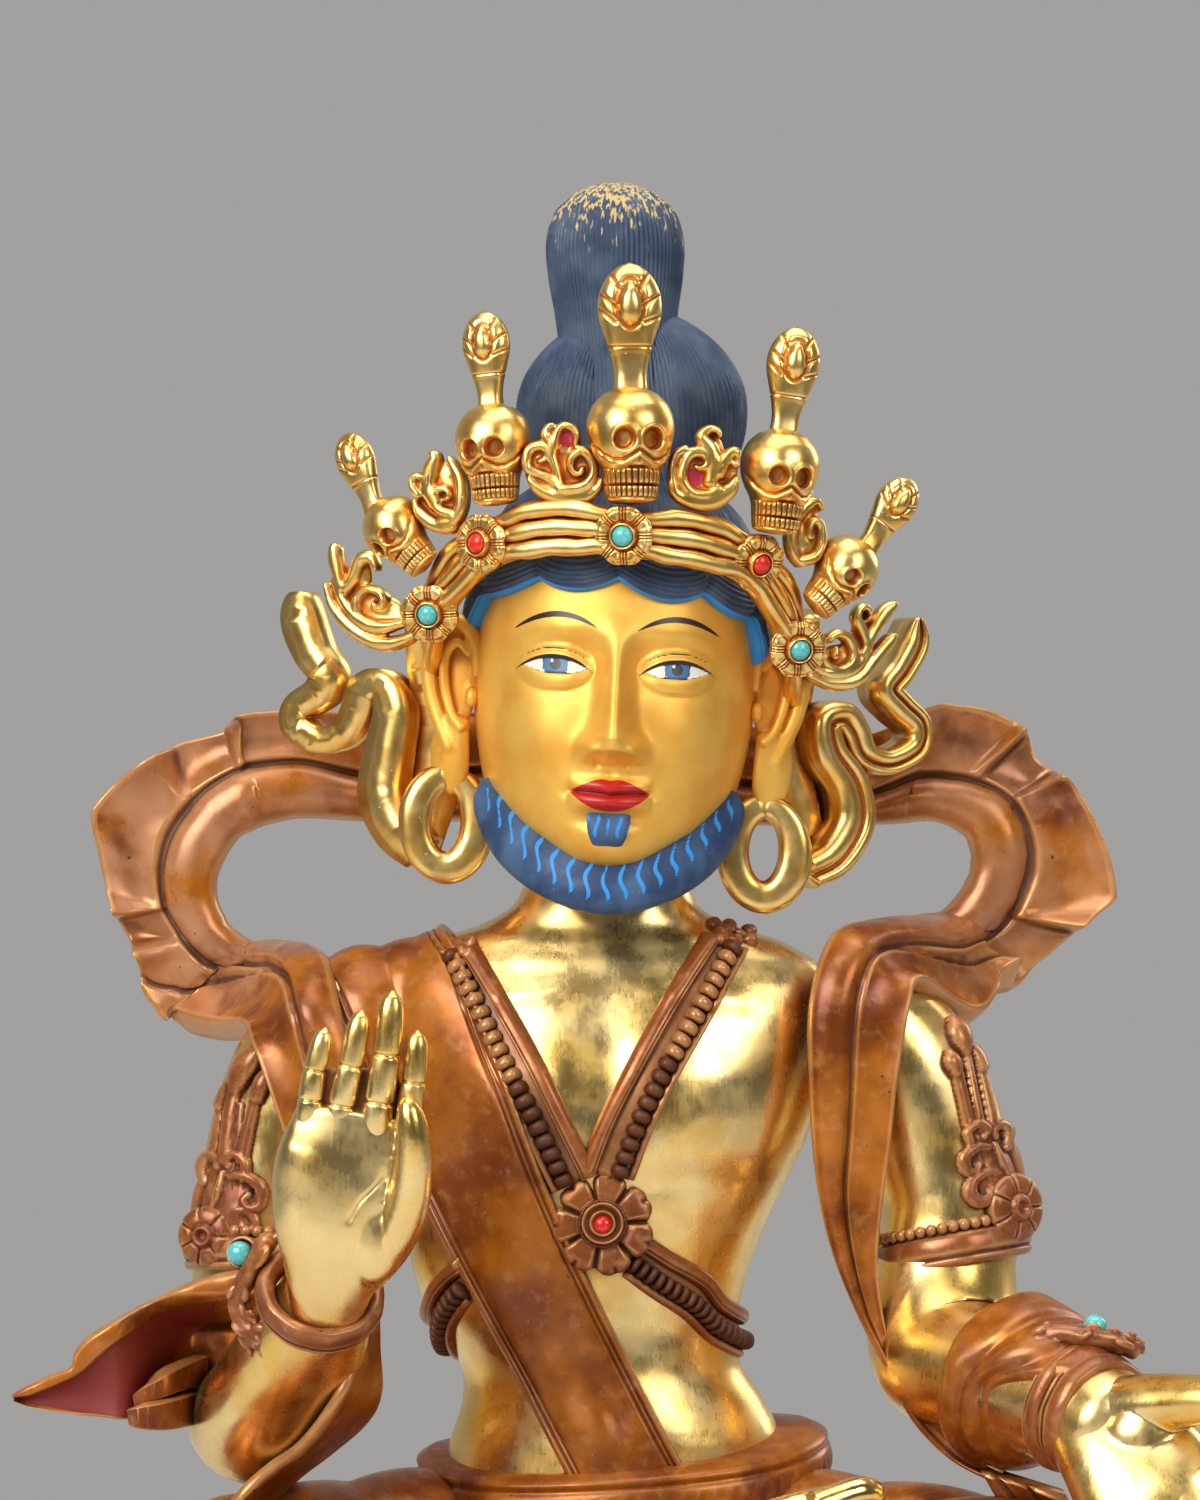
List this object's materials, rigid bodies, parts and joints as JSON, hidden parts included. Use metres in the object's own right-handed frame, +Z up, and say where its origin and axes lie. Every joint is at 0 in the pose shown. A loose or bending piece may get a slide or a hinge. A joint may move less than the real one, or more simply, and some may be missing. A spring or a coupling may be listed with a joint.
{
  "type": "mahasiddha statue",
  "caption": "Seated figure of a bearded adept in a skull crown, one hand raised palm out, on an oval double-lotus base; stands on its flat underside.",
  "frame": {"origin": "middle of the lotus base's underside", "axes": "+Z up through the seated figure, -Y the way that it faces, +X towards its left hand"},
  "size_m": [0.276, 0.148, 0.39],
  "materials": {
    "base_gilt": "gilt copper, worn on the petals, dark in the grooves",
    "bright_gilt": "burnished fire gilding with fine brush marks",
    "aged_gilt": "gilding with red-brown patina in the recesses",
    "matte_gilt": "satin cold gold on the face",
    "copper_patina": "oxidised copper, semi-gloss, orange on worn edges and purple-brown in the grooves",
    "blue_paint": "dusty mineral blue, worn to gold on the highest places",
    "red_paint": "matt dark red",
    "turquoise": "polished cabochon",
    "coral": "polished cabochon"
  },
  "bodies": {
    "root": {"lotus_base": "base_gilt", "figure": "bright_gilt", "crown": "aged_gilt", "earring_right": "aged_gilt", "earring_left": "aged_gilt", "crown_turquoise_1": "turquoise", "crown_coral_2": "coral", "crown_turquoise_3": "turquoise", "crown_coral_4": "coral", "crown_turquoise_5": "turquoise", "breast_coral": "coral", "right_bracelet_turquoise": "turquoise", "left_bracelet_turquoise": "turquoise"}
  },
  "joints": []
}
